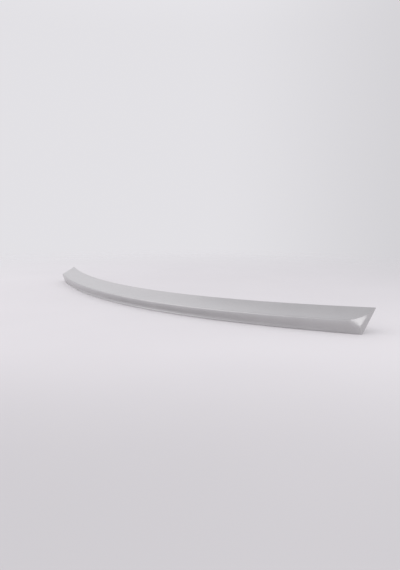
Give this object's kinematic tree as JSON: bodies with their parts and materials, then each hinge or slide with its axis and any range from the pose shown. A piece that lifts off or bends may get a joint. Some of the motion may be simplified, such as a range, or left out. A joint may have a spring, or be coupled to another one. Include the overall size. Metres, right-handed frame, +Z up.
{
  "type": "trunk lip spoiler",
  "caption": "Bowed trunk lip spoiler in satin silver: a hollow top face rising to a thin leading edge, a blunt rear lip over an undercut rear face, faceted closed ends and a ribbed hollow underside.",
  "frame": {"origin": "middle of the rear lower edge, on the plane that the edge rests on", "axes": "+X along the spoiler to its right end seen from behind, +Y towards the front of the car, +Z up from the plane that the rear lower edge rests on"},
  "size_m": [1.2156, 0.1974, 0.0514],
  "materials": {
    "silver_paint": "satin silver paint on moulded plastic"
  },
  "bodies": {
    "root": {"lip_spoiler": "silver_paint"}
  },
  "joints": []
}
